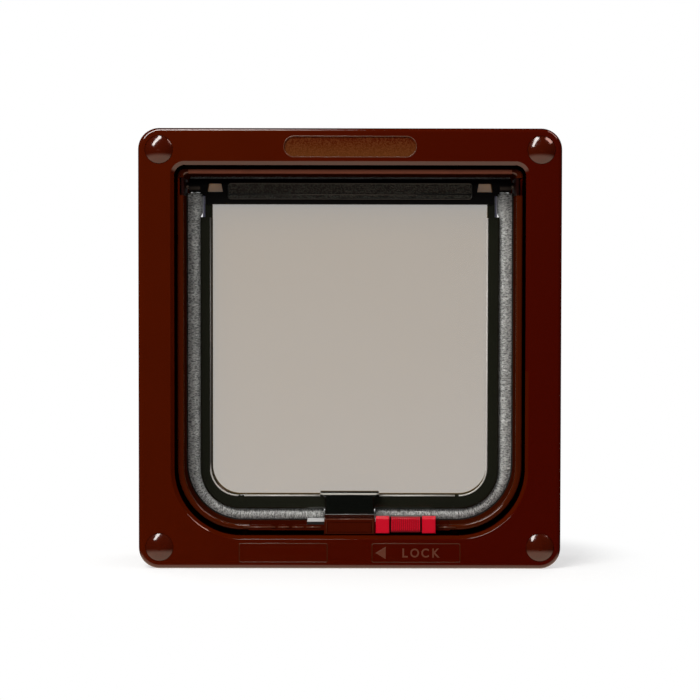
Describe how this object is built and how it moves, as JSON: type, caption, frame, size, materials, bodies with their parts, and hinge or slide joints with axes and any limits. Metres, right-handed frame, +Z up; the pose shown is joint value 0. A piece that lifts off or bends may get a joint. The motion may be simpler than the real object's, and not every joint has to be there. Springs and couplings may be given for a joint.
{
  "type": "cat flap",
  "caption": "Door-mounted cat flap: brown inner and outer frames, a tunnel, a smoked swinging flap with pile seals, a magnetic catch and a red slide lock.",
  "frame": {"origin": "middle of the base: midway across the frame, midway from the screw caps' fronts to the outer frame's back, at the frames' lower edges", "axes": "+Z up, +X to the right seen from the room, +Y from the room side towards the outside"},
  "size_m": [0.192, 0.0582, 0.2],
  "materials": {
    "brown_gloss": "glossy dark red-brown moulded plastic",
    "brown_satin": "satin dark brown moulded plastic",
    "black_gloss": "glossy black moulded plastic",
    "grained_black": "dark grey plastic with a fine grain",
    "smoked_clear": "clear plastic with a light smoke tint",
    "grey_pile": "grey woven-backed pile",
    "dark_pile": "short dark grey pile",
    "pile_backing": "woven backing strip",
    "red_plastic": "crimson moulded plastic",
    "steel": "bright zinc-plated steel",
    "brass_insert": "knurled brass"
  },
  "bodies": {
    "frame": {"inner_frame": "brown_gloss", "outer_frame": "brown_gloss", "tunnel_liner": "brown_satin", "frame_screws": "steel", "thread_inserts": "brass_insert", "screw_caps": "brown_gloss", "latch_tray": "brown_satin", "keeper_plate": "steel", "latch_cover": "brown_satin", "frame_magnet": "steel", "bearing_clip_left": "brown_satin", "bearing_clip_right": "brown_satin", "pile_backing_left": "pile_backing", "pile_backing_right": "pile_backing", "side_pile_left": "grey_pile", "side_pile_right": "grey_pile"},
    "flap": {"hinge_bar": "smoked_clear", "hinge_bar_cover": "grained_black", "top_pile": "dark_pile", "flap_window": "smoked_clear", "flap_rim_left": "black_gloss", "flap_rim_right": "black_gloss", "flap_rim_foot": "black_gloss", "magnet_block": "black_gloss", "flap_magnet": "steel", "hinge_pin_left": "steel", "hinge_pin_right": "steel"},
    "lock": {"lock_slider": "red_plastic"}
  },
  "joints": [
    {"name": "flap_swing", "type": "hinge", "parent": "frame", "child": "flap", "pos_m": [0, -0.00085, 0.175], "axis": [1, 0, 0], "range_deg": [-85, 85]},
    {"name": "lock_slide", "type": "slide", "parent": "frame", "child": "lock", "axis": [-1, 0, 0], "range_m": [0, 0.01]}
  ]
}
